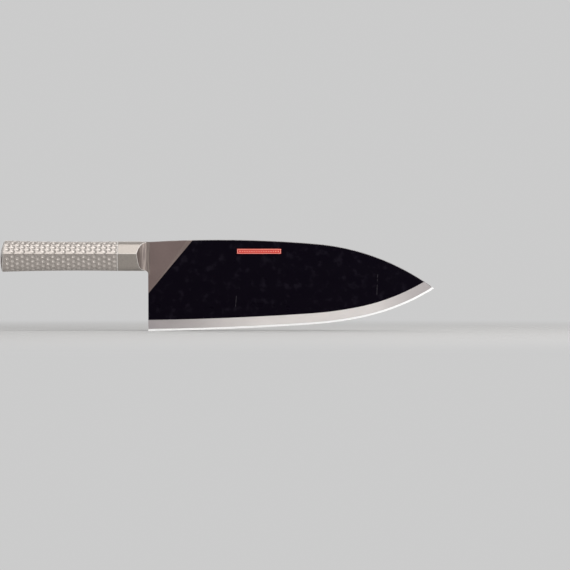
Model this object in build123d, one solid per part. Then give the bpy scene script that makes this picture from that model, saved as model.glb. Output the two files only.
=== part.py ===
from build123d import *

import math
import os

# A heavy fish knife: a thick blade with one bevelled side, welded to a hollow steel handle.
# +X runs from the butt to the tip, +Z from the edge to the spine, and the bevelled front face looks
# along -Y. The origin lies under the middle of the whole length, level with the foot of the heel.
# Lengths are millimetres. Helpers take x from the heel line, so the heel's foot is at (0, 0).

# The whole knife
blade_length = 240.0
handle_length = 124.0
overrun = 12.0

# Blade outline: the spine is two arcs and the edge is three, each tangent to the one before
heel_height = 74.7
tip_height = 35.7
spine_start_angle = 3.6
spine_knots_share = [(0.588, 0.979)]
edge_start_angle = 0.76
edge_knots_share = [(0.574, 0.157), (0.746, 0.315)]

# Blade section: a hard steel layer at the back and a soft iron layer in front of it
core_thickness = 1.1
edge_land = 0.12
small_bevel_width = 1.7
bevel_width = 9.2
bevel_shoulder_thickness = 2.9
face_rise_heel_share = 0.048
face_rise_tip_share = 0.030
face_stations = 9
spine_ease = 0.4

# Shallow hollow in the blade's back, inside a flat rim
hollow_depth = 0.3
hollow_rim = 4.5
hollow_slope_width = 5.0
hollow_heel_rim = 5.0

# Full-thickness cheek beside the bolster, with a sloped step down to the ground face
cheek_thickness = 7.0
cheek_foot_height = 31.5
cheek_top_length = 37.4
cheek_step_width = 4.6

# Tang that runs from the soft iron layer through the bolster
tang_thickness = 4.0
tang_height = 14.0
tang_length = 38.0
tang_gap = 0.1

# Handle section at the collar: two flats meet in a ridge on the front, the back is an oval
handle_axis_drop = 11.85
collar_height = 24.85
collar_half_width = 11.0
ridge_rise = 1.8
end_round_radius = 7.5
waist_height = 24.26
waist_distance = 57.3
butt_height = 26.36
shell_stations = 6

# Bolster: plain collar, ground scoops down to the blade, and the inner corner above the heel
collar_distance = 25.4
joint_reach = 1.4
scoop_length = 10.9
inner_corner_radius = 2.6
spigot_length = 8.0
fit_gap = 0.15

# Two pressed half shells and the butt cap
shell_wall = 1.3
butt_distance = 121.5
butt_tilt = 4.6
cap_inset = 0.8
cap_rim_thickness = 0.5
cap_plug_length = 4.0
cap_wall = 1.2

# Dimples pressed into the shells, each column half a row pitch from the next
dimple_diameter = 3.5
dimple_depth = 0.4
dimple_lip = 0.06
dimple_column_pitch = 4.2
dimple_row_pitch = 4.2
dimple_seam_margin = 0.1
dimple_butt_margin = 2.1

# Plain label on the front face
label_length = 37.0
label_height = 4.2
label_thickness = 0.12
label_glue = 0.02
label_distance = 93.0
label_drop = 7.8

heel_x = (handle_length - blade_length) / 2
back_y = cheek_thickness / 2
weld_y = back_y - core_thickness
handle_axis_height = heel_height - handle_axis_drop
cheek_floor = handle_axis_height - collar_height / 2 - inner_corner_radius


def spot(x, y, z):
    """A point given from the foot of the heel."""
    return Vector(heel_x + x, y, z)


def bend(start, heading, end):
    """The circle that leaves start at a heading and passes through end, and its heading there."""
    chord = math.atan2(end[1] - start[1], end[0] - start[0])
    half_turn = chord - heading
    radius = math.dist(start, end) / (2 * math.sin(abs(half_turn)))
    side = math.copysign(1, half_turn)
    centre = (start[0] - side * radius * math.sin(heading), start[1] + side * radius * math.cos(heading))
    first = heading - side * math.pi / 2
    return {"centre": centre, "radius": radius, "first": first, "turn": 2 * half_turn}, chord + half_turn


def chain(points, heading):
    """Tangent arcs through the points."""
    arcs = []
    for start, end in zip(points, points[1:]):
        arc, heading = bend(start, heading, end)
        arcs.append(arc)
    return arcs


def knots(shares, height):
    return [(x * blade_length, z * height) for x, z in shares]


tip = (blade_length, tip_height)
spine_points = [(0, heel_height), *knots(spine_knots_share, heel_height), tip]
spine_arcs = chain(spine_points, math.radians(spine_start_angle))
edge_points = [(0, 0), *knots(edge_knots_share, tip_height), tip]
edge_arcs = chain(edge_points, math.radians(edge_start_angle))


def on_arc(arc, angle, inset):
    """The point of an arc at an angle, moved into the blade by inset."""
    reach = arc["radius"] - inset
    cx, cz = arc["centre"]
    return (cx + reach * math.cos(angle), cz + reach * math.sin(angle))


def arc_edge(arc, depth_y, inset, before=0, after=0):
    """An arc as an edge in the plane y = depth_y, made longer by before and after at its ends."""
    side = math.copysign(1, arc["turn"])
    start = arc["first"] - side * before / arc["radius"]
    end = arc["first"] + arc["turn"] + side * after / arc["radius"]
    ends = [on_arc(arc, angle, inset) for angle in (start, (start + end) / 2, end)]
    return ThreePointArc(*[spot(x, depth_y, z) for x, z in ends])


def arc_from(arc, depth_y, point):
    """The part of an arc that is left after a point on it."""
    start = on_arc(arc, arc["first"], 0)
    skipped = 2 * arc["radius"] * math.asin(math.dist(start, point) / (2 * arc["radius"]))
    return arc_edge(arc, depth_y, 0, before=-skipped)


def edge_level(x, inset):
    """Height of the edge curve, moved into the blade by inset, at a distance x from the heel."""
    for arc in edge_arcs:
        last = on_arc(arc, arc["first"] + arc["turn"], inset)
        if x <= last[0]:
            break
    cx, cz = arc["centre"]
    return cz - math.sqrt((arc["radius"] - inset) ** 2 - (x - cx) ** 2)


def spine_level(x):
    """Height of the spine at a distance x from the heel."""
    for arc in spine_arcs:
        if x <= on_arc(arc, arc["first"] + arc["turn"], 0)[0]:
            break
    cx, cz = arc["centre"]
    return cz + math.sqrt(arc["radius"] ** 2 - (x - cx) ** 2)


def slab(wire, y_from, y_to):
    """The region inside a wire that lies in the plane y = y_from, carried to y_to."""
    return extrude(Face(wire), amount=abs(y_to - y_from), dir=(0, math.copysign(1, y_to - y_from), 0))


def blade_outline(depth_y):
    """The blade's side view, with a step at the heel where the bolster's corner sits."""
    joint = (joint_reach, spine_level(joint_reach))
    corners = [(0, 0), (0, cheek_floor), (joint_reach, cheek_floor), joint]
    heel = Polyline(*[spot(x, depth_y, z) for x, z in corners])
    spine = [arc_from(spine_arcs[0], depth_y, joint)]
    spine += [arc_edge(arc, depth_y, 0) for arc in spine_arcs[1:]]
    edge = [arc_edge(arc, depth_y, 0) for arc in edge_arcs]
    return Wire([*heel.edges(), *spine, *edge])


def above_edge(depth_y, inset):
    """A wide face whose lower side is the edge curve moved into the blade by inset."""
    first, *middle, last = edge_arcs
    lower = [arc_edge(first, depth_y, inset, before=overrun)]
    lower += [arc_edge(arc, depth_y, inset) for arc in middle]
    lower += [arc_edge(last, depth_y, inset, after=2 * overrun)]
    start = lower[0] @ 0
    end = lower[-1] @ 1
    top = max(heel_height, end.Z) + overrun
    sides = Polyline(end, (end.X, depth_y, top), (start.X, depth_y, top), start)
    return Face(Wire([*lower, *sides.edges()]))


def bevel_keep(thin, thin_inset, thick, thick_inset):
    """What a bevel leaves: it passes thin_inset above the edge at thickness thin, and so on."""
    widening = (thick_inset - thin_inset) / (thick - thin)
    faces = []
    for depth in (-core_thickness, cheek_thickness + core_thickness):
        inset = thin_inset + (depth - thin) * widening
        faces.append(above_edge(back_y - depth, inset))
    return loft(faces, ruled=True)


def face_depth(x, z):
    """Blade thickness at the ground front face."""
    share = x / blade_length
    rise = face_rise_heel_share + (face_rise_tip_share - face_rise_heel_share) * share
    return bevel_shoulder_thickness + rise * (z - edge_level(x, bevel_width))


def ground_form(proud=0):
    """Everything behind the ground front face, which thins from the spine to the bevel and to the tip."""
    low = -overrun
    high = heel_height + overrun
    behind = back_y + overrun
    span = blade_length + 2 * overrun
    sections = []
    for i in range(face_stations):
        x = span * i / (face_stations - 1) - overrun
        corners = [(behind, low), (behind, high)]
        corners += [(back_y - face_depth(x, z) - proud, z) for z in (high, low)]
        sections.append(Face(Wire(Polyline(*[spot(x, y, z) for y, z in corners], close=True).edges())))
    return loft(sections)


cheek_slope = (cheek_thickness - face_depth(0, cheek_foot_height)) / (heel_height - cheek_foot_height)
cheek_plane = Plane(
    origin=spot(0, back_y - cheek_thickness, heel_height),
    x_dir=(1, 0, 0),
    z_dir=(0, -1, -cheek_slope),
)


def cheek_form():
    """The full-thickness cheek, cut off by a sloped step that runs from the spine down to the heel."""
    top = spine_level(cheek_top_length)
    foot = spot(0, back_y - face_depth(0, cheek_foot_height), cheek_foot_height)
    crest = spot(cheek_top_length, back_y - face_depth(cheek_top_length, top), top)
    ledge_x = cheek_top_length - cheek_step_width
    ledge_y = back_y - cheek_thickness - cheek_slope * (top - heel_height)
    ledge = spot(ledge_x, ledge_y, top)
    step = Plane(origin=foot, x_dir=crest - foot, z_dir=(crest - foot).cross(ledge - foot))
    corner = spot(-overrun, back_y + overrun, -overrun)
    size = (cheek_top_length + 2 * overrun, cheek_thickness + 3 * overrun, heel_height + 2 * overrun)
    block = Pos(corner) * Box(*size, align=(Align.MIN, Align.MAX, Align.MIN))
    block = split(block, bisect_by=cheek_plane, keep=Keep.BOTTOM)
    heel_side = Keep.TOP if step.to_local_coords(corner).Z > 0 else Keep.BOTTOM
    return split(block, bisect_by=step, keep=heel_side)


def eased(layer):
    """The front layer with the front corner of its spine rounded."""
    corners = []
    for spine in layer.faces().filter_by(GeomType.CYLINDER):
        along = [edge for edge in spine.edges() if abs((edge % 0.5).Y) < 0.5]
        corners += [edge for edge in along if weld_y - (edge @ 0.5).Y > spine_ease]
    return fillet(corners, spine_ease)


def tang():
    """A flat bar from the middle of the heel into the handle."""
    size = (tang_length + joint_reach, tang_thickness, tang_height)
    start = spot(joint_reach, weld_y, handle_axis_height)
    return Pos(start) * Box(*size, align=(Align.MAX, Align.MAX, Align.CENTER))


def blade_cladding():
    """Soft iron layer: cheek, ground face, bevel and tang."""
    body = slab(blade_outline(weld_y), weld_y, back_y - cheek_thickness - overrun)
    body = body & (ground_form() + cheek_form())
    body = body & bevel_keep(core_thickness, small_bevel_width, bevel_shoulder_thickness, bevel_width)
    return eased(body) + tang()


def hollow_face(depth_y, inset):
    """The blade's outline, without the heel's step, moved inwards by inset."""
    joint = (hollow_heel_rim, spine_level(hollow_heel_rim))
    foot = (hollow_heel_rim, edge_level(hollow_heel_rim, 0))
    spine = [arc_from(spine_arcs[0], depth_y, joint)]
    spine += [arc_edge(arc, depth_y, 0) for arc in spine_arcs[1:]]
    edge = [arc_from(edge_arcs[0], depth_y, foot)]
    edge += [arc_edge(arc, depth_y, 0) for arc in edge_arcs[1:]]
    heel = Line(spot(foot[0], depth_y, foot[1]), spot(joint[0], depth_y, joint[1]))
    return offset(Face(Wire([heel, *spine, *edge])), amount=-inset, kind=Kind.INTERSECTION).face()


def back_hollow():
    """The shallow dish ground into the back, with sloped sides."""
    mouth = hollow_face(back_y + hollow_depth, hollow_rim - hollow_slope_width)
    floor = hollow_face(back_y - hollow_depth, hollow_rim + hollow_slope_width)
    return loft([mouth, floor], ruled=True)


def blade_core():
    """Hard steel layer: the flat hollowed back, and the edge itself."""
    body = slab(blade_outline(back_y), back_y, weld_y)
    body = body & bevel_keep(edge_land, 0, core_thickness, small_bevel_width)
    return body - back_hollow()


def handle_scale(distance):
    """Size of the handle's section against the collar's: a parabola through collar, waist and butt."""
    heights = [(collar_distance, collar_height), (waist_distance, waist_height), (butt_distance, butt_height)]
    total = 0
    for place, height in heights:
        others = [other for other, _ in heights if other != place]
        weight = math.prod((distance - other) / (place - other) for other in others)
        total += weight * height
    return total / collar_height


def section_plane(distance):
    """Upright plane across the handle: its x is +Y and its y is +Z."""
    return Plane(origin=spot(-distance, 0, handle_axis_height), x_dir=(0, 1, 0), z_dir=(1, 0, 0))


def section_shape(scale):
    """Circles, ridge and tangent directions of the handle's section at a scale."""
    radius = end_round_radius * scale
    rise = collar_height / 2 * scale - radius
    width = collar_half_width * scale
    ridge = Vector(-width, ridge_rise * scale)
    normals = []
    for centre, side in ((Vector(0, rise), -1), (Vector(0, -rise), 1)):
        away = ridge - centre
        turn = math.acos(radius / away.length)
        normals.append(math.atan2(away.Y, away.X) % math.tau + side * turn)
    spare = width - radius
    back_centre = (spare**2 - rise**2) / (2 * spare)
    back_turn = math.atan2(rise, -back_centre)
    return {
        "radius": radius,
        "rise": rise,
        "ridge": ridge,
        "upper": normals[0],
        "lower": normals[1],
        "back_centre": back_centre,
        "back_radius": width - back_centre,
        "back_turn": back_turn,
    }


def unit(angle):
    return Vector(math.cos(angle), math.sin(angle))


def front_edges(scale, inset):
    """The section's front half, from its top to its bottom, moved inwards by inset."""
    shape = section_shape(scale)
    reach = shape["radius"] - inset
    top = Vector(0, shape["rise"])
    bottom = Vector(0, -shape["rise"])
    upper = unit(shape["upper"])
    lower = unit(shape["lower"])
    ridge = shape["ridge"] - (upper + lower) * (inset / (1 + upper.dot(lower)))
    first = math.degrees(shape["upper"])
    last = math.degrees(shape["lower"])
    return [
        CenterArc(top, reach, 90, first - 90),
        Line(top + upper * reach, ridge),
        Line(ridge, bottom + lower * reach),
        CenterArc(bottom, reach, last, 270 - last),
    ]


def back_edges(scale, inset):
    """The section's back half, from its top to its bottom, moved inwards by inset."""
    shape = section_shape(scale)
    reach = shape["radius"] - inset
    turn = math.degrees(shape["back_turn"])
    return [
        CenterArc((0, shape["rise"]), reach, 90, turn - 90),
        CenterArc((shape["back_centre"], 0), shape["back_radius"] - inset, turn, -2 * turn),
        CenterArc((0, -shape["rise"]), reach, -turn, turn - 90),
    ]


def solid_section(distance, inset, scale=None):
    """The whole section as a face."""
    scale = handle_scale(distance) if scale is None else scale
    edges = front_edges(scale, inset) + back_edges(scale, inset)
    return section_plane(distance) * Face(Wire(edges))


def shell_section(distance, half_edges):
    """The wall of one half shell as a face."""
    scale = handle_scale(distance)
    outer = half_edges(scale, 0)
    inner = half_edges(scale, shell_wall)
    seams = [Line(outer[0] @ 0, inner[0] @ 0), Line(outer[-1] @ 1, inner[-1] @ 1)]
    return section_plane(distance) * Face(Wire([*outer, seams[1], *reversed(inner), seams[0]]))


def butt_plane():
    """The handle's rear end, which leans forward at the top and faces backwards."""
    lean = math.radians(butt_tilt)
    return Plane(
        origin=spot(-butt_distance, 0, handle_axis_height),
        x_dir=(0, 1, 0),
        z_dir=(-math.cos(lean), 0, math.sin(lean)),
    )


def along_shell(first, last, make_section, count):
    """A form through sections spaced evenly between two distances."""
    step = (last - first) / (count - 1)
    return loft([make_section(first + i * step) for i in range(count)])


def plain_shell(half_edges):
    """One pressed half shell before its dimples, trimmed to the butt."""
    last = butt_distance + overrun
    shell = along_shell(collar_distance, last, lambda d: shell_section(d, half_edges), shell_stations)
    return split(shell, bisect_by=butt_plane(), keep=Keep.BOTTOM)


def front_place(shape, along):
    """Point and outward direction on the front half, at a length from the ridge along the section."""
    side = math.copysign(1, along)
    direction = shape["upper"] if side > 0 else shape["lower"]
    centre = Vector(0, side * shape["rise"])
    flat = shape["ridge"] - centre
    flat_length = math.sqrt(flat.length**2 - shape["radius"] ** 2)
    if abs(along) <= flat_length:
        tangent = unit(direction - side * math.pi / 2)
        return shape["ridge"] + tangent * abs(along), direction
    angle = direction - side * (abs(along) - flat_length) / shape["radius"]
    return centre + unit(angle) * shape["radius"], angle


def front_length(shape, side):
    """Length along the section from the ridge to the seam on one side."""
    centre = Vector(0, side * shape["rise"])
    flat_length = math.sqrt((shape["ridge"] - centre).length ** 2 - shape["radius"] ** 2)
    direction = shape["upper"] if side > 0 else shape["lower"]
    seam = math.pi / 2 if side > 0 else 3 * math.pi / 2
    return flat_length + shape["radius"] * abs(seam - direction)


def back_place(shape, along):
    """Point and outward direction on the back half, at a length from its middle along the section."""
    side = math.copysign(1, along)
    oval_length = shape["back_radius"] * shape["back_turn"]
    if abs(along) <= oval_length:
        angle = along / shape["back_radius"]
        return Vector(shape["back_centre"], 0) + unit(angle) * shape["back_radius"], angle
    angle = side * (shape["back_turn"] + (abs(along) - oval_length) / shape["radius"])
    return Vector(0, side * shape["rise"]) + unit(angle) * shape["radius"], angle


def back_length(shape, side):
    """Length along the section from the back's middle to the seam."""
    oval_length = shape["back_radius"] * shape["back_turn"]
    return oval_length + shape["radius"] * (math.pi / 2 - shape["back_turn"])


def dimple_rows(shape, length, shift, middle):
    """Row places along the section on both sides of its middle, clear of the seams."""
    rows = [0.0] if middle and shift else []
    reach = dimple_diameter / 2 + dimple_seam_margin
    for side in (1, -1):
        limit = length(shape, side) - reach
        row = dimple_row_pitch * (1 if shift else 0.5)
        while row <= limit:
            rows.append(side * row)
            row += dimple_row_pitch
    return rows


def dimple_tool():
    """A shallow ball cap, its deepest point on the axis at -dimple_depth, that reaches past the surface."""
    ball = (dimple_diameter**2 / 4 + dimple_depth**2) / (2 * dimple_depth)
    tall = dimple_depth + dimple_lip
    width = math.sqrt(ball**2 - (ball - tall) ** 2)
    half_turn = math.asin(width / ball) / 2
    middle = (ball * math.sin(half_turn), 0, ball * (1 - math.cos(half_turn)) - dimple_depth)
    cap = ThreePointArc((0, 0, -dimple_depth), middle, (width, 0, dimple_lip))
    sides = Polyline((width, 0, dimple_lip), (0, 0, dimple_lip), (0, 0, -dimple_depth))
    return revolve(Face(Wire([cap, *sides.edges()])), Axis.Z)


def dimples(place, length, middle):
    """Caps that press the dimples into one half shell."""
    first = collar_distance + dimple_column_pitch / 2
    last = butt_distance - dimple_butt_margin - dimple_column_pitch / 2
    count = round((last - first) / dimple_column_pitch) + 1
    tool = dimple_tool()
    caps = []
    for i in range(count):
        distance = first + i * (last - first) / (count - 1)
        shape = section_shape(handle_scale(distance))
        plane = section_plane(distance)
        for along in dimple_rows(shape, length, i % 2, middle):
            point, angle = place(shape, along)
            outward = plane.from_local_coords(point + unit(angle)) - plane.from_local_coords(point)
            caps.append(Plane(origin=plane.from_local_coords(point), x_dir=(1, 0, 0), z_dir=outward) * tool)
    return caps


def handle_shell_front():
    """Pressed half shell with the ridge."""
    return plain_shell(front_edges) - dimples(front_place, front_length, False)


def handle_shell_back():
    """Pressed half shell with the plain oval side."""
    return plain_shell(back_edges) - dimples(back_place, back_length, True)


def cap_dome():
    """The domed disc over the handle's rear end."""
    plane = butt_plane()
    spans = (butt_distance - overrun, butt_distance + overrun)
    disc = [solid_section(d, cap_inset, handle_scale(butt_distance)) for d in spans]
    disc = split(loft(disc, ruled=True), bisect_by=plane, keep=Keep.TOP)
    reach = butt_height / 2 - cap_inset
    rise = handle_length - butt_distance - cap_rim_thickness
    ball = (reach**2 + rise**2) / (2 * rise)
    back = (ball - (handle_length - butt_distance)) / math.cos(math.radians(butt_tilt))
    return disc & (Pos(plane.from_local_coords((0, 0, -back))) * Sphere(ball))


def cap_plug(inset):
    """Fills the shells' rear mouth, inset from their outside."""
    spans = (butt_distance - cap_plug_length, butt_distance + overrun)
    plug = loft([solid_section(d, inset) for d in spans], ruled=True)
    return split(plug, bisect_by=butt_plane(), keep=Keep.BOTTOM)


def butt_cap():
    """Domed cap with a cupped plug that locates both shells."""
    plug_inset = shell_wall + fit_gap
    return cap_dome() + (cap_plug(plug_inset) - cap_plug(plug_inset + cap_wall))


def scoop(tangent, outward, depth):
    """A ground hollow that meets a blade face along the joint, scoop_length ahead of its rim."""
    radius = (scoop_length**2 + depth**2) / (2 * depth)
    along = outward.cross(Vector(1, 0, 0))
    axis = Plane(origin=tangent + outward * radius, x_dir=(1, 0, 0), z_dir=along)
    return axis * Cylinder(radius, handle_length)


def inner_corner():
    """Plate below the bolster with the round inner corner above the heel."""
    floor = cheek_floor
    radius = inner_corner_radius
    half = radius * math.sqrt(0.5)
    centre = (-radius, floor)
    arc = ThreePointArc(
        spot(-radius, collar_half_width, floor + radius),
        spot(centre[0] + half, collar_half_width, floor + half),
        spot(0, collar_half_width, floor),
    )
    corners = [(0, floor), (joint_reach, floor), (joint_reach, floor + 2 * radius)]
    corners += [(-radius, floor + 2 * radius), (-radius, floor + radius)]
    sides = Polyline(*[spot(x, collar_half_width, z) for x, z in corners])
    return slab(Wire([arc, *sides.edges()]), collar_half_width, -collar_half_width)


def spine_trim():
    """Takes the bolster's top down to the blade's spine."""
    start = handle_axis_height + collar_height / 2
    end = spine_level(joint_reach)
    corners = [(-scoop_length, start), (joint_reach, end), (joint_reach + overrun, end)]
    corners += [(joint_reach + overrun, start + overrun), (-scoop_length, start + overrun)]
    outline = Polyline(*[spot(x, overrun, z) for x, z in corners], close=True)
    return slab(Wire(outline.edges()), overrun, -overrun)


def bolster():
    """Solid collar, ground away on both sides to meet the blade, slotted for the tang."""
    collar = loft([solid_section(d, 0, 1) for d in (collar_distance, -joint_reach)], ruled=True)
    body = collar + inner_corner() - spine_trim()
    ridge_level = handle_axis_height + ridge_rise
    cheek_y = back_y - cheek_thickness - cheek_slope * (ridge_level - heel_height)
    front = scoop(spot(joint_reach, cheek_y, ridge_level), cheek_plane.z_dir, collar_half_width + cheek_y)
    back = scoop(spot(joint_reach, back_y, ridge_level), Vector(0, 1, 0), collar_half_width - back_y)
    spans = (collar_distance, collar_distance + spigot_length)
    spigot = loft([solid_section(d, shell_wall + fit_gap) for d in spans], ruled=True)
    return body - front - back + spigot - tang_slot()


def tang_slot():
    """Through slot for the tang."""
    size = (tang_length + overrun, tang_thickness + 2 * tang_gap, tang_height + 2 * tang_gap)
    start = spot(joint_reach, weld_y + tang_gap, handle_axis_height)
    return Pos(start) * Box(*size, align=(Align.MAX, Align.MAX, Align.CENTER))


def label():
    """Thin plain label, glued to the ground front face."""
    size = (label_length, cheek_thickness + overrun, label_height)
    place = spot(label_distance, back_y, heel_height - label_drop)
    prism = Pos(place) * Box(*size, align=(Align.CENTER, Align.MAX, Align.CENTER))
    return (prism & ground_form(label_glue + label_thickness)) - ground_form(label_glue)


pieces = {
    "blade_core": blade_core,
    "blade_cladding": blade_cladding,
    "bolster": bolster,
    "handle_shell_front": handle_shell_front,
    "handle_shell_back": handle_shell_back,
    "butt_cap": butt_cap,
    "label": label,
}


def main():
    os.makedirs("parts", exist_ok=True)
    for name, make in pieces.items():
        export_step(make(), f"parts/{name}.step")


if __name__ == "__main__":
    main()
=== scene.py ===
# %% [markdown]
# # A fish knife with a dimpled steel handle
# The knife is heavy and simple: a thick blade with one bevelled side, a bolster, and a hollow steel
# handle. Its shapes are few, so the looks come from finishes. One blade carries four of them: a
# near-black ground face, a satin cheek beside the bolster, a grey bevel and a bright cutting edge.
# The CAD model is loaded first and stays as it is. The label's size is measured from it, and the other
# sizes are given here.

# %% Load the knife
import math

import bmesh
import bpy
import numpy as np
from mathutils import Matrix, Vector


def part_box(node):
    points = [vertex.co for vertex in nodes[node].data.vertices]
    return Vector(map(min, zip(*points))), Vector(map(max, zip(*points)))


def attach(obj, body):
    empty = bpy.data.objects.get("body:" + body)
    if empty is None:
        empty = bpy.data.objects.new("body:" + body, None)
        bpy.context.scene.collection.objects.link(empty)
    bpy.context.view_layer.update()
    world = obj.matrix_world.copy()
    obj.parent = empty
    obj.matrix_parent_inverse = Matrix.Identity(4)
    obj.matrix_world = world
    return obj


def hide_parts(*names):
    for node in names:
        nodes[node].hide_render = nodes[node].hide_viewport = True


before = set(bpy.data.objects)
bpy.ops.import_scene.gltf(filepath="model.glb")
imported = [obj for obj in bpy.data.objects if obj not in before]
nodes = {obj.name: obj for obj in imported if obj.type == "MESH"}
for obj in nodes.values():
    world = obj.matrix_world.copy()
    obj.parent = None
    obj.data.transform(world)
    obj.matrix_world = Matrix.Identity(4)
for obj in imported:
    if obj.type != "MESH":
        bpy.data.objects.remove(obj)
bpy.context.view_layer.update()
print("pieces:", ", ".join(sorted(nodes)))

# %% [markdown]
# ## Sizes that the finishes need
# A finish that stops at a line has to know where that line is. The knife's own sizes say it, in
# millimetres from the foot of the heel. The heel line is where the blade starts, and the handle
# runs back from it.

# %% The knife's own sizes
MM = 0.001
blade_length = 240.0
handle_length = 124.0
heel_height = 74.7
tip_height = 35.7
heel_x = (handle_length - blade_length) / 2
cheek_thickness = 7.0
back_y = cheek_thickness / 2
print("heel line at x =", heel_x, "mm")


def from_heel(x, z):
    """A place on the blade's side, in metres, from millimetres off the foot of the heel."""
    return ((heel_x + x) * MM, 0, z * MM)


# %% [markdown]
# ## Camera
# The photograph looks straight at the blade's flat side through a long lens, so nothing in it
# converges. A wide lens close by would bend the outline. The distance follows from the lens and
# from how many millimetres of the knife fill the picture.

# %% Camera
picture_px = 570
mm_per_px = 0.8394
heel_px = (148.3, 331.0)
lens_mm = 200.0
sensor_mm = 36.0
view_mm = picture_px * mm_per_px
middle_x = (picture_px / 2 - heel_px[0]) * mm_per_px
middle_z = (heel_px[1] - picture_px / 2) * mm_per_px
camera_data = bpy.data.cameras.new("long_lens")
camera_data.lens = lens_mm
camera_data.sensor_width = sensor_mm
camera = bpy.data.objects.new("camera", camera_data)
bpy.context.scene.collection.objects.link(camera)
bpy.context.scene.camera = camera
camera_distance = view_mm * lens_mm / sensor_mm
looked_at = from_heel(middle_x, middle_z)
camera.location = (looked_at[0], -camera_distance * MM, looked_at[2])
camera.rotation_euler = (math.pi / 2, 0, 0)
print(f"the camera is {camera_distance / 1000:.2f} m away and sees {view_mm:.0f} mm")

# %% [markdown]
# ## A short way to write nodes
# Every finish here is procedural, and node trees get long when each link takes a line. These
# helpers let a finish read as a formula: a value or a socket goes in, and a socket comes out. The
# room's light is a node tree as well, so the helpers that any tree can use come first.


# %% Node helpers
class Formula:
    """A node tree, and short ways to add nodes to it."""

    def __init__(self, tree):
        self.tree = tree

    def add(self, kind, *values, **settings):
        node = self.tree.nodes.new(kind)
        for key, value in settings.items():
            setattr(node, key, value)
        for socket, value in zip(node.inputs, values):
            self.put(socket, value)
        return node

    def put(self, socket, value):
        if isinstance(value, bpy.types.NodeSocket):
            self.tree.links.new(value, socket)
        elif value is not None:
            socket.default_value = value

    def calc(self, operation, *values, clamp=False):
        return self.add("ShaderNodeMath", *values, operation=operation, use_clamp=clamp).outputs[0]

    def invert(self, share):
        return self.calc("SUBTRACT", 1.0, share)

    def vector(self, operation, *values):
        node = self.add("ShaderNodeVectorMath", *values, operation=operation)
        scalar = operation in ("DOT_PRODUCT", "DISTANCE", "LENGTH")
        return node.outputs["Value" if scalar else "Vector"]

    def step(self, value, low, high, to_low=0.0, to_high=1.0, curve="SMOOTHSTEP"):
        """Goes smoothly from to_low to to_high while value goes from low to high."""
        node = self.add("ShaderNodeMapRange", value, low, high, to_low, to_high)
        node.interpolation_type = curve
        return node.outputs["Result"]

    def mix(self, share, a, b):
        node = self.add("ShaderNodeMix", data_type="RGBA")
        self.put(node.inputs["Factor"], share)
        colours = [socket for socket in node.inputs if socket.type == "RGBA"]
        self.put(colours[0], a)
        self.put(colours[1], b)
        return [socket for socket in node.outputs if socket.type == "RGBA"][0]


def colour(red, green, blue):
    """A colour picked as 0 to 255 screen values, as the linear values that shaders use."""
    def linear(value):
        share = value / 255
        return share / 12.92 if share <= 0.04045 else ((share + 0.055) / 1.055) ** 2.4

    return (linear(red), linear(green), linear(blue), 1.0)


print("middle grey is", round(colour(128, 128, 128)[0], 3), "to a shader")

# %% [markdown]
# A surface needs more than sums: a place to start from, noise, soft corners and bumps. A finish
# starts from object coordinates, which are the knife's own metres, so a scratch has a real size.
# Rounded corners come from the Bevel node. It bends the normals only, and leaves the mesh alone.

# %% Helpers for a finish
corner_cosine = 0.93
flat_cosine = 0.998
patch_mm = 11
scratch_weight = 0.6
noise_reach = (0.3, 0.7)


class Finish(Formula):
    """One material, and short ways to add what a surface needs."""

    def __init__(self, name):
        self.material = bpy.data.materials.new(name)
        self.material.use_nodes = True
        super().__init__(self.material.node_tree)
        self.shader = self.tree.nodes["Principled BSDF"]
        self.place = self.add("ShaderNodeTexCoord").outputs["Object"]
        self.x, self.y, self.z = self.add("ShaderNodeSeparateXYZ", self.place).outputs

    def set(self, **sockets):
        for name, value in sockets.items():
            self.put(self.shader.inputs[name.replace("_", " ")], value)

    def facing(self):
        """Where the mesh's own faces look: x, y and z of their normals."""
        normal = self.add("ShaderNodeNewGeometry").outputs["True Normal"]
        return self.add("ShaderNodeSeparateXYZ", normal).outputs

    def noise(self, size_mm, stretch=(1, 1, 1), detail=2.0, place=None):
        """Noise whose lumps are about size_mm, drawn out along the axes that stretch names."""
        where = self.vector("DIVIDE", self.place if place is None else place, stretch)
        node = self.add("ShaderNodeTexNoise")
        self.put(node.inputs["Vector"], where)
        self.put(node.inputs["Scale"], 1 / (size_mm * MM))
        self.put(node.inputs["Detail"], detail)
        return node.outputs["Fac"]

    def spread(self, noise, low, high):
        """Noise, which mostly keeps to the middle of its range, spread out from low to high."""
        return self.step(noise, *noise_reach, low, high)

    def brushed(self, grain):
        """Fine scratches over broad patches, as one share from dark to light."""
        scratches = self.calc("MULTIPLY", grain, scratch_weight)
        patches = self.calc("MULTIPLY", self.noise(patch_mm), 1 - scratch_weight)
        return self.calc("ADD", scratches, patches)

    def rounded(self, radius_mm):
        """Normals that round the mesh's sharp corners off by a radius."""
        return self.add("ShaderNodeBevel", radius_mm * MM, samples=8).outputs[0]

    def highlit(self, rounded):
        """Where rounded normals leave the mesh's own ones: 0 on flats and 1 at corners."""
        own = self.add("ShaderNodeNewGeometry").outputs["Normal"]
        likeness = self.vector("DOT_PRODUCT", rounded, own)
        return self.step(likeness, corner_cosine, flat_cosine, 1.0, 0.0)

    def bump(self, height, depth_mm, under=None):
        node = self.add("ShaderNodeBump")
        self.put(node.inputs["Height"], height)
        self.put(node.inputs["Distance"], depth_mm * MM)
        self.put(node.inputs["Strength"], 1.0)
        self.put(node.inputs["Normal"], under)
        return node.outputs["Normal"]


def dress(name, finish):
    """Gives a CAD node one finish all over."""
    materials = nodes[name].data.materials
    materials.clear()
    materials.append(finish.material)
    print(name, "is", finish.material.name)


highlit_degrees = math.degrees(math.acos(corner_cosine))
print("a corner is fully worn where its normals turn by", round(highlit_degrees), "degrees")

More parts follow.
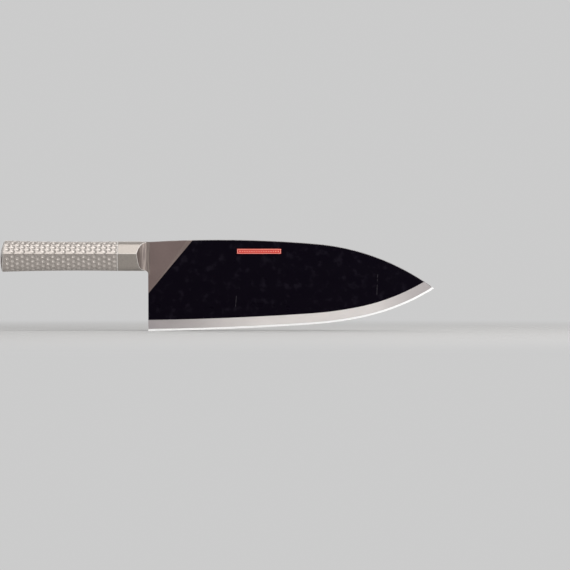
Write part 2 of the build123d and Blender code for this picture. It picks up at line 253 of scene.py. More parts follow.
# %% [markdown]
# ## Studio
# Bare steel shows what is around it, so the studio is part of the finish. A pale room comes first,
# a little darker overhead. It has two strengths: one that the camera sees and that steel mirrors,
# and a lower one that lights matt surfaces. With a single strength, a room as pale as the picture's
# would wash every colour out.

# %% Room
horizon_light = 0.60
zenith_light = 0.48
horizon_height = 0.1
zenith_height = 0.9
ambient_light = 0.32

world = bpy.data.worlds.new("studio")
bpy.context.scene.world = world
world.use_nodes = True
room = Formula(world.node_tree)
direction = room.add("ShaderNodeTexCoord").outputs["Generated"]
height = room.add("ShaderNodeSeparateXYZ", direction).outputs["Z"]
heights = (horizon_height, zenith_height)
seen_light = room.step(height, *heights, horizon_light, zenith_light, curve="LINEAR")
rays = room.add("ShaderNodeLightPath").outputs
seen = room.calc("ADD", rays["Is Camera Ray"], rays["Is Glossy Ray"])
seen = room.calc("ADD", seen, rays["Is Transmission Ray"], clamp=True)
level = room.step(seen, 0.0, 1.0, ambient_light, seen_light, curve="LINEAR")
room.put(room.tree.nodes["Background"].inputs["Color"], level)
print("the room is seen at", horizon_light, "and lights matt surfaces at", ambient_light)

# %% [markdown]
# The floor is matt paper near the knife, where it holds a shadow. Further out it fades into a glow
# as pale as the room, so no line shows where the floor ends.

# %% Floor
floor_radius = 6.0
floor_sides = 64
floor_near = 0.2
floor_far = 0.9
paper_grain_mm = 1.5
paper_depth = 0.02

paper = Finish("floor_paper")
paper_grain = paper.noise(paper_grain_mm, detail=3.0)
paper.set(
    Base_Color=paper.mix(paper_grain, colour(200, 199, 198), colour(204, 203, 202)),
    Roughness=0.9,
    Specular_IOR_Level=0.1,
    Normal=paper.bump(paper_grain, paper_depth),
)
glow = paper.add("ShaderNodeEmission", (horizon_light, horizon_light, horizon_light, 1.0), 1.0)
far_off = paper.step(paper.vector("LENGTH", paper.place), floor_near, floor_far)
fade = paper.add("ShaderNodeMixShader", far_off, paper.shader.outputs[0], glow.outputs[0])
paper.put(paper.tree.nodes["Material Output"].inputs["Surface"], fade.outputs[0])

floor_data = bpy.data.meshes.new("floor")
turns = [math.tau * i / floor_sides for i in range(floor_sides)]
rim = [(floor_radius * math.cos(turn), floor_radius * math.sin(turn), 0) for turn in turns]
floor_data.from_pydata(rim, [], [range(floor_sides)])
floor_data.materials.append(paper.material)
floor = bpy.data.objects.new("floor", floor_data)
bpy.context.scene.collection.objects.link(floor)
print("the floor fades into the room between", floor_near, "and", floor_far, "m")

# %% [markdown]
# Three soft lamps do the rest. A large one above, a little to the right, gives the upper flat of
# the handle its shine. A smaller one at the front right picks out one side of each dimple. A weak
# one behind keeps the back from going flat.


# %% Lamps
def lamp(name, place, aim, size, power):
    """A rectangular soft lamp that faces a point."""
    data = bpy.data.lights.new(name, "AREA")
    data.shape = "RECTANGLE"
    data.size, data.size_y = size
    data.energy = power
    thing = bpy.data.objects.new(name, data)
    bpy.context.scene.collection.objects.link(thing)
    thing.location = place
    thing.rotation_euler = (Vector(place) - Vector(aim)).to_track_quat("Z", "Y").to_euler()
    print(name, "gives", power, "W")


lamp("soft_box", place=(0.55, -0.75, 1.5), aim=(0.2, 0, 0.05), size=(2.2, 1.4), power=22)
lamp("front_fill", place=(2.0, -1.9, 0.4), aim=(0, 0, 0.04), size=(1.4, 0.9), power=56)
lamp("back_fill", place=(-1.0, 2.2, 1.9), aim=(0, 0, 0.03), size=(2.4, 1.4), power=12)

# %% [markdown]
# ## Where the blade's finishes meet
# The outline of the edge is three arcs, each tangent to the one before. The bevel keeps a steady
# width, so its upper limit is the same three arcs moved inwards. A mask made of straight lines
# would miss it by millimetres near the tip. The arcs' centres come from the same points and
# headings that shape the blade. The points where one arc meets the next are shares of the blade's
# length and height, so they move with its size.

# %% Arcs of the edge and of the spine
edge_heading = math.radians(0.76)
edge_knots = [(0.574, 0.157), (0.746, 0.315)]
spine_heading = math.radians(3.6)
spine_knots = [(0.588, 0.979)]


def bend(start, heading, end):
    """The circle that leaves start at a heading and goes through end, and its heading there."""
    chord = math.atan2(end[1] - start[1], end[0] - start[0])
    half_turn = chord - heading
    radius = math.dist(start, end) / (2 * math.sin(half_turn))
    centre = (start[0] - radius * math.sin(heading), start[1] + radius * math.cos(heading))
    return (centre, abs(radius)), chord + half_turn


def chain(points, heading):
    """Each arc's centre and radius, and the points and headings where it starts."""
    arcs = []
    for start, end in zip(points, points[1:]):
        circle, next_heading = bend(start, heading, end)
        arcs.append((*circle, start, heading))
        heading = next_heading
    return arcs


tip = (blade_length, tip_height)
edge_points = [(0, 0)] + [(x * blade_length, z * tip_height) for x, z in edge_knots] + [tip]
edge_arcs = chain(edge_points, edge_heading)
spine_points = [(0, heel_height)] + [(x * blade_length, z * heel_height) for x, z in spine_knots] + [tip]
spine_arcs = chain(spine_points, spine_heading)
for _, radius, start, _ in edge_arcs:
    print(f"edge arc from x = {start[0]:.1f} mm: radius {radius:.0f} mm")


def spine_level(x):
    """Height of the spine's first arc above the heel's foot."""
    (cx, cz), radius = spine_arcs[0][:2]
    return cz + math.sqrt(radius**2 - (x - cx) ** 2)


def inset_from(finish, arcs):
    """How far a point lies inside the arcs, in metres: each one counts from its start on."""
    flat = finish.vector("MULTIPLY", finish.place, (1, 0, 1))
    inset = None
    for (cx, cz), radius, start, heading in arcs:
        reach = finish.vector("DISTANCE", flat, from_heel(cx, cz))
        here = finish.calc("SUBTRACT", radius * MM, reach)
        if inset is None:
            inset = here
            continue
        ahead = (math.cos(heading), 0, math.sin(heading))
        passed = finish.vector("DOT_PRODUCT", finish.vector("SUBTRACT", flat, from_heel(*start)), ahead)
        past = finish.calc("GREATER_THAN", passed, 0.0)
        change = finish.calc("MULTIPLY", finish.calc("SUBTRACT", here, inset), past)
        inset = finish.calc("ADD", inset, change)
    return inset


# %% [markdown]
# Beside the bolster the blade keeps its full thickness. That part is the cheek, and a sloped step
# leads from it down to the dark face. The step is a narrow wedge between two straight lines, which
# leave the foot of the cheek together and part on the way up to the spine. How far a point lies
# beyond such a line says which finish it gets.

# %% Line of the cheek
cheek_foot = (0, 31.5)
cheek_top_length = 37.4
cheek_step_width = 4.6
cheek_crest = (cheek_top_length, spine_level(cheek_top_length))
cheek_ledge = (cheek_top_length - cheek_step_width, cheek_crest[1])


def past_line(finish, start, end):
    """How far a point lies beyond a line on the blade's side, towards the tip, in metres."""
    dx, dz = end[0] - start[0], end[1] - start[1]
    length = math.hypot(dx, dz)
    across = (dz / length, 0, -dx / length)
    offset = finish.vector("SUBTRACT", finish.place, from_heel(*start))
    return finish.vector("DOT_PRODUCT", offset, across)


print("the cheek ends at", [round(v, 1) for v in cheek_crest], "mm on the spine")

# %% [markdown]
# ## Blade front
# The front of the blade is one solid with four finishes. Four separate meshes would leave seams
# between them, so one material mixes the finishes by place, and by the way a face looks. The masks
# come first, each a number from 0 to 1. The bevel is what looks down close to the edge. The step of
# the cheek looks down as well, so the way a face looks isn't enough to tell them apart.

# %% Masks of the blade front
bevel_width = 9.2
bevel_slope = 0.12
spine_slope = 0.25
face_slope = 0.5
edge_zone = 2 * bevel_width * MM
crest_blur = 0.08 * MM
ledge_blur = 0.1 * MM

front = Finish("blade_front")
facing = front.facing()
edge_inset = inset_from(front, edge_arcs)
near_edge = front.calc("LESS_THAN", edge_inset, edge_zone)
is_bevel = front.calc("MULTIPLY", near_edge, front.calc("LESS_THAN", facing[2], -bevel_slope))
is_spine = front.calc("GREATER_THAN", facing[2], spine_slope)
is_front = front.calc("LESS_THAN", facing[1], -face_slope)
beyond_crest = front.step(past_line(front, cheek_foot, cheek_crest), -crest_blur, crest_blur)
beyond_ledge = front.step(past_line(front, cheek_foot, cheek_ledge), -ledge_blur, ledge_blur)
is_face = front.calc("MULTIPLY", beyond_crest, is_front)
bevel_degrees = math.degrees(math.asin(bevel_slope))
print("a face of the bevel looks down by", round(bevel_degrees), "degrees or more")

# %% [markdown]
# The ground face is near black, and what stops it from looking like a hole is faint: smudges, two hair
# scratches, and a painted highlight, a pale line along the spine where its corner would catch the light.
# The cheek and its step are brushed upright.

# %% Dark face and satin cheek
hair_mm = 0.12
smudge_mm = 7
smudge_edges = (0.52, 0.72)
scratches = [((192.6, 48), (191.8, 29.5)), ((74, 30), (73.2, 20))]
scratch_width = 0.3
scratch_share = 0.3
break_mm = 2.5
break_edges = (0.38, 0.55)
spine_highlight_band = (0.40 * MM, 0.55 * MM)


def hairline(finish, start, end, width_mm):
    """A fine scratch between two places on the blade's side, broken up along its length."""
    dx, dz = end[0] - start[0], end[1] - start[1]
    length = math.hypot(dx, dz)
    offset = finish.vector("SUBTRACT", finish.place, from_heel(*start))
    along = finish.vector("DOT_PRODUCT", offset, (dx / length, 0, dz / length))
    across = finish.vector("DOT_PRODUCT", offset, (dz / length, 0, -dx / length))
    half = width_mm * MM / 2
    on_line = finish.step(finish.calc("ABSOLUTE", across), half, 2 * half, 1.0, 0.0)
    from_end = finish.calc("MINIMUM", along, finish.calc("SUBTRACT", length * MM, along))
    broken = finish.step(finish.noise(break_mm), *break_edges)
    tapered = finish.step(from_end, 0.0, MM)
    return finish.calc("MULTIPLY", on_line, finish.calc("MULTIPLY", tapered, broken))


grain_upright = front.noise(hair_mm, stretch=(1, 1, 24), detail=3.0)
smudges = front.step(front.noise(smudge_mm, detail=4.0), *smudge_edges)
black = front.mix(smudges, colour(4, 1, 9), colour(17, 13, 22))
for start, end in scratches:
    scratch = hairline(front, start, end, scratch_width)
    black = front.mix(front.calc("MULTIPLY", scratch, scratch_share), black, colour(92, 88, 94))
# painted highlight: a pale line just inside the spine, where its corner would catch the light
painted_spine_highlight = front.step(inset_from(front, spine_arcs), *spine_highlight_band, 1.0, 0.0)
black = front.mix(painted_spine_highlight, black, colour(108, 105, 107))
cheek_satin = front.mix(grain_upright, colour(122, 106, 103), colour(140, 124, 120))
step_satin = front.mix(grain_upright, colour(122, 108, 104), colour(138, 124, 119))
satin = front.mix(beyond_ledge, cheek_satin, step_satin)
print("hair scratches on the dark face:", len(scratches))

# %% [markdown]
# The bevel is ground along the edge, so its grain follows the arcs: it takes its place from the distance
# to the edge, and hardly from the length. Its colour is painted palest in the middle of the blade and
# duller towards the heel and at the tip, a painted reflection of the light along its length.

# %% Ground bevel and spine
bevel_grain_mm = 0.14
along_squeeze = 0.03
bevel_cloud_mm = 9
paler_from_heel = (-62 * MM, 45 * MM)
duller_to_tip = (120 * MM, 180 * MM)
tip_share = 0.15
painted_reflection_weight = 0.74
cloud_weight = 0.2
grain_weight = 0.16

along = front.calc("MULTIPLY", front.x, along_squeeze)
around_edge = front.add("ShaderNodeCombineXYZ", along, 0.0, edge_inset).outputs[0]
bevel_grain = front.noise(bevel_grain_mm, detail=3.0, place=around_edge)
bevel_clouds = front.noise(bevel_cloud_mm, stretch=(2, 1, 1))
from_heel_end = front.step(front.x, *paler_from_heel)
from_tip_end = front.step(front.x, *duller_to_tip, 1.0, tip_share)
# painted reflection: the bevel paler in the middle of its length, duller at the heel and tip
painted_reflection_share = front.calc("MULTIPLY", from_heel_end, from_tip_end)
bevel_tone = front.calc("MULTIPLY", painted_reflection_share, painted_reflection_weight)
bevel_tone = front.calc("ADD", bevel_tone, front.calc("MULTIPLY", bevel_clouds, cloud_weight))
bevel_tone = front.calc("ADD", bevel_tone, front.calc("MULTIPLY", bevel_grain, grain_weight), clamp=True)
bevel_colour = front.mix(bevel_tone, colour(146, 139, 141), colour(223, 218, 215))


def spine_grey(finish, stretch):
    """The spine's satin grey, brushed lengthwise."""
    grain = finish.noise(hair_mm, stretch=(stretch, 1, 1), detail=3.0)
    return finish.mix(grain, colour(128, 124, 124), colour(152, 148, 147))


palest = [round(limit / MM) for limit in (paler_from_heel[1], duller_to_tip[0])]
print("the bevel is palest between x =", palest[0], "and", palest[1], "mm")

# %% [markdown]
# Now the masks put the finishes in their places. Bare steel is metallic. The dark face isn't: it is
# a smooth dark skin, and as a metal it would mirror the pale room and turn grey. The bevel lies in
# between, because coarse grinding scatters most of what it mirrors.

# %% Dress the blade front
bevel_matt_share = 0.7
steel_roughness = 0.1
sheen_mm = 14
blade_roughness = (0.27, 0.36)
grain_depth = 0.003
blade_corner = 0.15

base = front.mix(is_face, satin, black)
base = front.mix(is_spine, base, spine_grey(front, 30))
base = front.mix(is_bevel, base, bevel_colour)
skin = front.calc("MULTIPLY", is_face, front.invert(is_spine))
steel = front.invert(front.calc("MULTIPLY", skin, front.invert(is_bevel)))
matt = front.calc("MULTIPLY", is_bevel, bevel_matt_share)
sheen = front.spread(front.noise(sheen_mm, stretch=(1.6, 1, 1), detail=3.0), *blade_roughness)
blade_grain = front.mix(is_bevel, grain_upright, bevel_grain)
front.set(
    Base_Color=base,
    Metallic=front.calc("MULTIPLY", steel, front.invert(matt)),
    Roughness=front.calc("ADD", front.calc("MULTIPLY", steel, steel_roughness), sheen),
    Specular_IOR_Level=0.05,
    Normal=front.bump(blade_grain, grain_depth, front.rounded(blade_corner)),
)
dress("blade_cladding", front)

# %% [markdown]
# ## Edge and back
# The hard layer shows as the bright line along the edge, and it is the whole back of the knife. The line
# is freshly honed, and its bright reflection is painted on as a near-white colour that isn't metallic.
# The back is ground lengthwise, and its shallow hollow is a little darker than the flat rim, which the
# stone polishes each time. The layer's other sides, on the spine and at the heel, are as grey as the
# front layer's beside them.

# %% Edge and back
rim_tolerance = 0.02
hollow_cloud_mm = 20
core_metal_share = 0.8
core_roughness = (0.28, 0.40)

core = Finish("hard_steel")
core_facing = core.facing()
core_grain = core.noise(hair_mm, stretch=(40, 1, 1), detail=3.0)
core_clouds = core.noise(hollow_cloud_mm, stretch=(2, 1, 1), detail=3.0)
is_back = core.calc("GREATER_THAN", core_facing[1], face_slope)
is_honed = core.calc("LESS_THAN", core_facing[1], -face_slope)
is_rim = core.calc("GREATER_THAN", core.y, (back_y - rim_tolerance) * MM)
hollow_colour = core.mix(core_clouds, colour(166, 163, 160), colour(186, 184, 180))
rim_colour = core.mix(core_grain, colour(190, 188, 185), colour(208, 206, 202))
back_colour = core.mix(is_rim, hollow_colour, rim_colour)
# painted reflection: the honed edge is near white and not metallic
painted_edge_shine = core.mix(core_grain, colour(250, 250, 249), colour(254, 254, 253))
core.set(
    Base_Color=core.mix(is_back, core.mix(is_honed, spine_grey(core, 40), painted_edge_shine), back_colour),
    Metallic=core.calc("MULTIPLY", core.invert(is_honed), core_metal_share),
    Roughness=core.spread(core_grain, *core_roughness),
    Normal=core.bump(core_grain, grain_depth),
)
dress("blade_core", core)

# %% [markdown]
# ## Bolster and butt
# Both are satin steel, brushed round the handle's axis. The scoop in the bolster is ground upright on a
# coarser belt, which shows as broad upright bands, and its colour is painted darker, as shade in the
# hollow. Its faces turn towards the tip, and that tells it from the collar. Close to the blade they
# don't, so there the place tells it. The corners get a painted highlight, up to the weld with the blade.

# %% Satin steel
grain_mm = 0.11
edge_round = 0.5
metal_share = 0.62
satin_roughness = (0.26, 0.36)
scoop_metal_share = 0.4
scoop_roughness = 0.14
scoop_slope = (0.04, 0.10)
belt_band_mm = 1.1
clear_split = (0.35, 0.65)
weld_span = (1.6, 1.2)
joint_span = (2.2, 1.8)
# colour of the painted highlight on the corners
painted_highlight = colour(250, 247, 243)


def ahead_of(finish, span):
    """Goes from 0 to 1 over a span, given in millimetres back from the heel line."""
    return finish.step(finish.x, *((heel_x - distance) * MM for distance in span))


def satin_steel(name, dark, light, grain_stretch):
    """Brushed steel whose scratches run along the stretched axis, with a painted highlight on its
    corners.
    """
    made = Finish(name)
    grain = made.noise(grain_mm, stretch=grain_stretch, detail=3.0)
    rounded = made.rounded(edge_round)
    # painted highlight: corners picked out pale and less metallic
    highlit = made.calc("MULTIPLY", made.highlit(rounded), made.invert(ahead_of(made, weld_span)))
    looks_ahead = made.step(made.facing()[0], *scoop_slope)
    is_scoop = made.calc("MAXIMUM", looks_ahead, ahead_of(made, joint_span))
    bands = made.step(made.noise(belt_band_mm, stretch=(1, 1, 60), detail=1.0), *clear_split)
    # painted shade: the scoop darker than the collar, with broad upright bands
    scoop_shade = made.mix(bands, colour(90, 80, 76), colour(124, 113, 107))
    tone = made.mix(is_scoop, made.mix(made.brushed(grain), dark, light), scoop_shade)
    metal = made.step(is_scoop, 0.0, 1.0, metal_share, scoop_metal_share)
    coarse_belt = made.calc("MULTIPLY", is_scoop, scoop_roughness)
    made.set(
        Base_Color=made.mix(highlit, tone, painted_highlight),
        Metallic=made.calc("MULTIPLY", made.invert(highlit), metal),
        Roughness=made.calc("ADD", made.spread(grain, *satin_roughness), coarse_belt),
        Normal=made.bump(grain, grain_depth, rounded),
    )
    return made


collar_greys = (colour(154, 147, 140), colour(169, 161, 154))
cap_greys = (colour(122, 116, 111), colour(140, 134, 129))
dress("bolster", satin_steel("collar_steel", *collar_greys, grain_stretch=(14, 1, 1)))
dress("butt_cap", satin_steel("cap_steel", *cap_greys, grain_stretch=(1, 8, 1)))

# %% [markdown]
# ## Dimpled handle
# Each half of the handle is pressed from sheet, and the dimples are pressed in with it. Bump alone
# would leave the outline smooth and the meshes bare, so the dimples are modelled. Cutting hundreds
# of balls out with booleans gives ragged triangles and broken shading. A fine grid whose points
# are pushed in by a formula stays even, and its lips come out soft, as pressed steel's are. The
# grid follows the same section as the CAD shell, and the dimples sit at the same places.

# %% Section of the handle
axis_below_spine = 11.85
axis_level = heel_height - axis_below_spine
collar_height = 24.85
collar_half_width = 11.0
ridge_rise = 1.8
end_round = 7.5
end_rise = collar_height / 2 - end_round
collar_distance = 25.4
butt_distance = 121.5
butt_height = 26.36
butt_lean = math.tan(math.radians(4.6))
waist_distance = 57.3
waist_height = 24.26
handle_heights = {
    collar_distance: collar_height,
    waist_distance: waist_height,
    butt_distance: butt_height,
}


def handle_scale(distance):
    """Size of the section against the collar's: a parabola through collar, waist and butt."""
    total = 0
    for place, height in handle_heights.items():
        others = [other for other in handle_heights if other != place]
        total = total + height * math.prod((distance - other) / (place - other) for other in others)
    return total / collar_height


def flat_angle(side):
    """Where the front's upper flat (side 1) or lower flat (side -1) looks, turned from +Y to +Z."""
    away = (-collar_half_width, ridge_rise - side * end_rise)
    return math.atan2(away[1], away[0]) % math.tau - side * math.acos(end_round / math.hypot(*away))


def flat_length(side):
    """Length of that flat, from the ridge to the rounded end."""
    return math.sqrt(collar_half_width**2 + (ridge_rise - side * end_rise) ** 2 - end_round**2)


def front_half(along):
    """Points and outward directions of the front, at lengths along the section from the ridge."""
    side = np.where(along >= 0, 1, -1)
    facing = np.where(along >= 0, flat_angle(1), flat_angle(-1))
    flat = np.where(along >= 0, flat_length(1), flat_length(-1))
    angle = facing - side * np.maximum(np.abs(along) - flat, 0) / end_round
    before_round = np.maximum(flat - np.abs(along), 0)
    tangent = facing - side * math.pi / 2
    y = end_round * np.cos(angle) - before_round * np.cos(tangent)
    z = end_round * np.sin(angle) - before_round * np.sin(tangent) + side * end_rise
    upper, lower = flat_angle(1), flat_angle(-1)
    mitre = 1 + math.cos(upper - lower)
    on_ridge = along == 0
    out_y = np.where(on_ridge, (math.cos(upper) + math.cos(lower)) / mitre, np.cos(angle))
    out_z = np.where(on_ridge, (math.sin(upper) + math.sin(lower)) / mitre, np.sin(angle))
    return y, z, out_y, out_z


spare = collar_half_width - end_round
oval_centre = (spare**2 - end_rise**2) / (2 * spare)
oval_radius = collar_half_width - oval_centre
oval_turn = math.atan2(end_rise, -oval_centre)


def back_half(along):
    """The same for the oval back, at lengths from its middle."""
    side = np.where(along >= 0, 1, -1)
    past_oval = np.maximum(np.abs(along) - oval_radius * oval_turn, 0)
    on_oval = past_oval == 0
    angle = side * (np.minimum(np.abs(along) / oval_radius, oval_turn) + past_oval / end_round)
    radius = np.where(on_oval, oval_radius, end_round)
    y = radius * np.cos(angle) + np.where(on_oval, oval_centre, 0)
    z = radius * np.sin(angle) + np.where(on_oval, 0, side * end_rise)
    return y, z, np.cos(angle), np.sin(angle)


front_reach = {
    1: flat_length(1) + end_round * (flat_angle(1) - math.pi / 2),
    -1: flat_length(-1) + end_round * (3 * math.pi / 2 - flat_angle(-1)),
}
back_reach = {side: oval_radius * oval_turn + end_round * (math.pi / 2 - oval_turn) for side in (1, -1)}
print("round the front half:", round(front_reach[1] + front_reach[-1], 1), "mm")
print("round the back half:", round(2 * back_reach[1], 1), "mm")

# %% [markdown]
# The dimples stand in columns along the handle, and every second column is half a row off, as in a
# honeycomb. Rows are counted outwards from the middle, and a dimple that would run over the seam is
# left out. None sits on the ridge of the front, while the oval back has a row along its middle.
# Each one presses the surface in as a shallow bowl. Where the bowl would end in a sharp rim, a soft
# maximum of the bowl and nothing rounds it off.

# %% Places of the dimples
dimple_diameter = 3.5
dimple_depth = 0.4
dimple_softness = 0.035
column_pitch = 4.2
row_pitch = 4.2
seam_margin = 0.1
butt_margin = 2.1


def dimple_places(reach, middle_row):
    """Distances and lengths along the section of every dimple: each column is half a row off."""
    first = collar_distance + column_pitch / 2
    last = butt_distance - butt_margin - column_pitch / 2
    columns = np.linspace(first, last, round((last - first) / column_pitch) + 1)
    places = []
    for i, distance in enumerate(columns):
        if i % 2 and middle_row:
            places.append((distance, 0.0))
        for side in (1, -1):
            limit = reach[side] * handle_scale(distance) - dimple_diameter / 2 - seam_margin
            rows = np.arange(row_pitch if i % 2 else row_pitch / 2, limit, row_pitch)
            places += [(distance, side * row) for row in rows]
    return places


def pressed(distance, along, places):
    """How deep the dimples press the surface in at each point of a grid."""
    depth = np.zeros_like(distance)
    for place, row in places:
        near = np.abs(distance[0] - place) < dimple_diameter
        away = (distance[:, near] - place) ** 2 + (along[:, near] - row) ** 2
        cap = dimple_depth * (1 - away / (dimple_diameter / 2) ** 2)
        depth[:, near] += dimple_softness * np.log1p(np.exp(cap / dimple_softness))
    return depth


print("dimples on the front half:", len(dimple_places(front_reach, False)))

# %% [markdown]
# A half shell is a closed mesh: a fine outer skin, a coarse inner one, and a rim that joins them.
# The wall has its real thickness, so a cut through the handle looks right. Only the outer skin
# needs the fine grid, and the coarse one keeps the mesh light. A row of points lies on the ridge,
# because a ridge that runs across the faces would come out ragged. The columns stand closer at
# both ends, where the shell curls in and leaves a lip.

# %% Grid of a half shell
grid_mm = 0.3
coarse = 4
lip_round = 0.6


def row_places(reach):
    """Rows of the grid, with one of them on the ridge."""
    counts = {side: coarse * round(reach[side] / grid_mm / coarse) for side in (1, -1)}
    below = np.linspace(-reach[-1], 0, counts[-1], endpoint=False)
    return np.concatenate([below, np.linspace(0, reach[1], counts[1] + 1)])


def column_places():
    """Columns of the grid, closer together at the rounded lips."""
    length = butt_distance - collar_distance
    lip = lip_round * (1 - np.cos(np.linspace(0, math.pi / 2, coarse, endpoint=False)))
    count = coarse * round(length / grid_mm / coarse)
    middle = np.linspace(lip_round, length - lip_round, count + 1)
    return np.concatenate([lip, middle, length - lip[::-1]])


print("the grid has", len(row_places(front_reach)), "rows and", len(column_places()), "columns")

# %% [markdown]
# The finish wants to know how deep each point is pressed in, and how near the lip it is. It can't
# read that off the surface, so both are kept with the points, as attributes. Shading is smooth, and
# edges stay sharp only where faces meet at a wide angle: along the ridge, the seams and the ends.

# %% Faces and marks of a shell
sharp_degrees = 35


def shell_faces(outside, inside):
    """Faces of both skins and of the rim between them, from two grids of point numbers."""
    faces = []
    for grid, ways in ((outside, 1), (inside, -1)):
        quads = np.stack([grid[:-1, :-1], grid[:-1, 1:], grid[1:, 1:], grid[1:, :-1]], -1)
        faces += quads.reshape(-1, 4)[:, ::ways].tolist()
    for edge in (np.s_[:, 0], np.s_[:, -1], np.s_[0, :], np.s_[-1, :]):
        wide, narrow = outside[edge], inside[edge]
        for i in range(len(narrow) - 1):
            part_of_rim = wide[coarse * i : coarse * (i + 1) + 1].tolist()
            faces.append(part_of_rim + [int(narrow[i + 1]), int(narrow[i])])
    return faces


def shell_mesh(name, vertices, faces, marks):
    """A smoothly shaded mesh, with the marks kept at the points of its outer skin."""
    data = bpy.data.meshes.new(name)
    data.from_pydata(vertices.tolist(), [], faces)
    shape = bmesh.new()
    shape.from_mesh(data)
    bmesh.ops.recalc_face_normals(shape, faces=shape.faces)
    shape.to_mesh(data)
    shape.free()
    data.shade_smooth()
    data.set_sharp_from_angle(angle=math.radians(sharp_degrees))
    for mark, values in marks.items():
        share = np.zeros(len(vertices), np.float32)
        share[: values.size] = np.ravel(values)
        data.attributes.new(mark, "FLOAT", "POINT").data.foreach_set("value", share)
    print(name, "has", len(data.polygons), "faces")
    return data


# %% [markdown]
# The end at the butt leans. How far back a row ends depends on its height, and its height depends
# on how large the handle is there. A few rounds of working out one from the other settle both.

# %% Half shell
shell_wall = 1.3
lean_rounds = 3


def half_shell(name, half, reach, middle_row):
    """One pressed half of the handle, as a closed mesh with the wall's real thickness."""
    rows, columns = row_places(reach), column_places()
    y, z, out_y, out_z = (values[:, None] for values in half(rows))
    end = butt_distance
    for _ in range(lean_rounds):
        end = butt_distance - butt_lean * z * handle_scale(end)
    distance = collar_distance + columns * (end - collar_distance) / columns[-1]
    scale = handle_scale(distance)
    from_lip = np.clip(np.minimum(distance - collar_distance, end - distance), 0, lip_round)
    lip = lip_round - np.sqrt(lip_round**2 - (lip_round - from_lip) ** 2)
    depth = pressed(distance, rows[:, None] * scale, dimple_places(reach, middle_row)) + lip

    def points(inset, pick):
        place = (heel_x - distance, y * scale - out_y * inset, axis_level + z * scale - out_z * inset)
        return [np.ravel(values[pick]) for values in place]

    every, sparse = np.s_[:, :], np.s_[::coarse, ::coarse]
    outer = points(depth, every)
    inner = points(shell_wall + 0 * depth, sparse)
    vertices = np.concatenate([np.stack(outer, 1), np.stack(inner, 1)]) * MM
    outside = np.arange(distance.size).reshape(distance.shape)
    inside = distance.size + np.arange(distance[sparse].size).reshape(distance[sparse].shape)
    marks = {"recess": (depth - lip) / dimple_depth, "lip": 1 - from_lip / lip_round}
    data = shell_mesh(name, vertices, shell_faces(outside, inside), marks)
    shell = bpy.data.objects.new(name, data)
    bpy.context.scene.collection.objects.link(shell)
    return shell


shells = {
    "handle_shell_front": half_shell("dimpled_front", front_half, front_reach, False),
    "handle_shell_back": half_shell("dimpled_back", back_half, back_reach, True),
}

# %% [markdown]
# The steel in the dimples is painted brighter than on the lands between them, a painted highlight that
# stands for their glints, and it isn't equally bright in all of them. Dimples this shallow look flat in
# soft light. So a bump that follows the same depths steepens their shading, on top of the real shape.
# The lips at both ends of a shell carry a painted highlight.

# %% Steel of the handle
dimpled_metal_share = 0.55
dimpled_roughness = (0.26, 0.34)
slope_gain = 0.24
uneven_mm = 2.2
least_bright = 0.5
lip_share = 0.4


def dimpled_steel():
    """Satin steel that is dull on the lands, with a painted highlight in the dimples and on the lips."""
    made = Finish("dimpled_steel")
    recess = made.add("ShaderNodeAttribute", attribute_name="recess").outputs["Fac"]
    lip = made.add("ShaderNodeAttribute", attribute_name="lip").outputs["Fac"]
    grain = made.noise(grain_mm, stretch=(6, 1, 1), detail=3.0)
    tone = made.brushed(grain)
    land = made.mix(tone, colour(166, 158, 152), colour(182, 174, 168))
    hollow_highlight = made.mix(tone, colour(194, 187, 180), colour(212, 205, 198))
    uneven = made.step(made.noise(uneven_mm, detail=1.0), *clear_split, least_bright, 1.0)
    # painted highlight: the dimples brighter than the lands, unevenly
    painted_dimple_highlight = made.calc("MULTIPLY", made.step(recess, 0.0, 1.0), uneven)
    # painted highlight: the lips at both ends pale and less metallic
    lip_highlight = made.step(lip, 0.0, lip_share)
    slopes = made.bump(made.invert(recess), slope_gain)
    made.set(
        Base_Color=made.mix(lip_highlight, made.mix(painted_dimple_highlight, land, hollow_highlight), colour(234, 229, 224)),
        Metallic=made.calc("MULTIPLY", made.invert(lip_highlight), dimpled_metal_share),
        Roughness=made.spread(grain, *dimpled_roughness),
        Normal=made.bump(grain, grain_depth, slopes),
    )
    return made


dimpled = dimpled_steel()
for node, shell in shells.items():
    shell.data.materials.append(dimpled.material)
    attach(shell, "root")
    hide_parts(node)
    print(shell.name, "stands for", node)

# %% [markdown]
# ## Label
# The label is a plain enamel strip. A thin pale line runs round it, and a row of small pale dots
# fills the middle. Both are drawn by distance: how far a point lies inside the strip's outline, and
# how far it lies from the nearest dot.

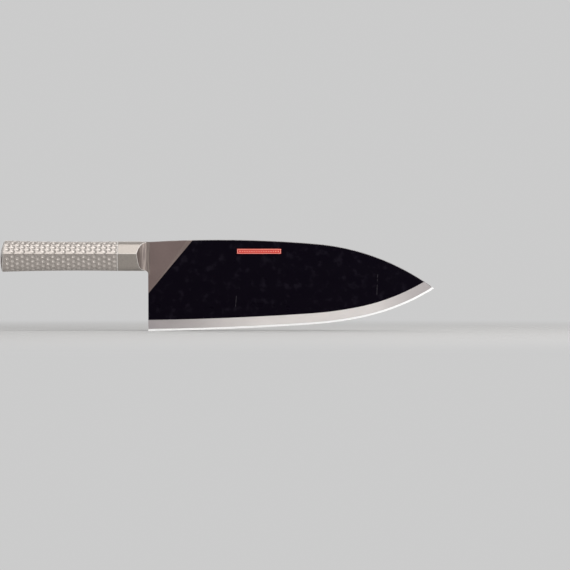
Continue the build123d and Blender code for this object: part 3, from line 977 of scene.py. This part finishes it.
# %% Pattern of the label
tag_line_in = 0.45 * MM
tag_line_width = 0.22 * MM
dot_pitch = 2.0 * MM
dot_radius = 0.5 * MM
dot_core = 0.8
row_margin = 1.6 * MM
row_fade = 0.1 * MM

tag = Finish("red_label")
tag_low, tag_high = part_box("label")
tag_middle = (tag_low + tag_high) / 2
tag_half = (tag_high - tag_low) / 2
from_middle_x = tag.calc("ABSOLUTE", tag.calc("SUBTRACT", tag.x, tag_middle.x))
from_middle_z = tag.calc("ABSOLUTE", tag.calc("SUBTRACT", tag.z, tag_middle.z))
inside_x = tag.calc("SUBTRACT", tag_half.x, from_middle_x)
inside_z = tag.calc("SUBTRACT", tag_half.z, from_middle_z)
inside = tag.calc("MINIMUM", inside_x, inside_z)
off_line = tag.calc("ABSOLUTE", tag.calc("SUBTRACT", inside, tag_line_in))
is_line = tag.step(off_line, tag_line_width / 2, tag_line_width, 1.0, 0.0)
dot_x = tag.calc("PINGPONG", from_middle_x, dot_pitch / 2)
dot_offset = tag.add("ShaderNodeCombineXYZ", dot_x, 0.0, from_middle_z).outputs[0]
is_dot = tag.step(tag.vector("LENGTH", dot_offset), dot_core * dot_radius, dot_radius, 1.0, 0.0)
in_row = tag.step(inside_x, row_margin, row_margin + row_fade)
is_pale = tag.calc("MAXIMUM", is_line, tag.calc("MULTIPLY", is_dot, in_row))
print("the label is", [round(side / MM, 1) for side in tag_high - tag_low], "mm")

# %% Enamel of the label
enamel_grain_mm = 0.4
enamel_depth = 0.004
enamel_roughness = (0.3, 0.4)
print_share = 0.8

tag_grain = tag.noise(enamel_grain_mm)
red = tag.mix(tag_grain, colour(180, 34, 27), colour(198, 46, 38))
tag.set(
    Base_Color=tag.mix(tag.calc("MULTIPLY", is_pale, print_share), red, colour(246, 190, 170)),
    Roughness=tag.spread(tag_grain, *enamel_roughness),
    Normal=tag.bump(tag_grain, enamel_depth),
)
dress("label", tag)

# %% [markdown]
# ## Output
# The Standard view shows colours as they are written. A film-like one would dull the steel and lift the
# black. The dressed knife may not outgrow the CAD model.

# %% Output
bpy.context.scene.view_settings.view_transform = "Standard"
